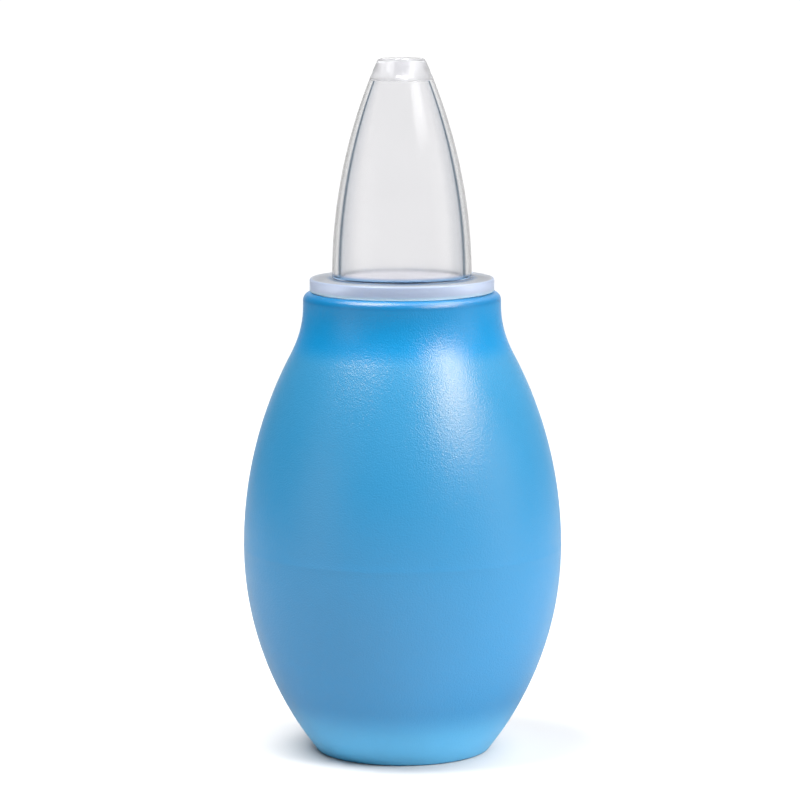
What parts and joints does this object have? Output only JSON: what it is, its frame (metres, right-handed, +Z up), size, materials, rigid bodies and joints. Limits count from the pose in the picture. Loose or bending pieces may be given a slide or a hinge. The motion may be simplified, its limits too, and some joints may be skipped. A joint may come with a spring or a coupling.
{
  "type": "nasal aspirator",
  "caption": "Baby nasal aspirator: a soft egg-shaped squeeze bulb with a flat foot, and a clear hollow nozzle with a flange that pulls out of the bulb's neck.",
  "frame": {"origin": "middle of the foot that the bulb stands on, at floor level", "axes": "+Z up the axis of the bulb and nozzle to the tip; -Y is the front, where a thumb presses"},
  "size_m": [0.05, 0.05, 0.1088],
  "materials": {
    "bulb_soft_plastic": "fine matt grain, soft blue moulding",
    "nozzle_clear_plastic": "clear, polished"
  },
  "bodies": {
    "bulb": {"bulb_shell": "bulb_soft_plastic"},
    "front_wall": {"front_press_wall": "bulb_soft_plastic"},
    "back_wall": {"back_press_wall": "bulb_soft_plastic"},
    "nozzle": {"nozzle": "nozzle_clear_plastic"}
  },
  "joints": [
    {"name": "front_squeeze", "type": "slide", "parent": "bulb", "child": "front_wall", "axis": [0, 1, 0], "range_m": [0, 0.012], "stiffness_N_per_m": 1250},
    {"name": "back_squeeze", "type": "slide", "parent": "bulb", "child": "back_wall", "axis": [0, -1, 0], "range_m": [0, 0.012], "stiffness_N_per_m": 1250},
    {"name": "nozzle_pull", "type": "slide", "parent": "bulb", "child": "nozzle", "axis": [0, 0, 1], "range_m": [0, 0.015]}
  ],
  "couplings": [
    {"joint": "back_squeeze", "follows": "front_squeeze", "ratio": 1}
  ]
}
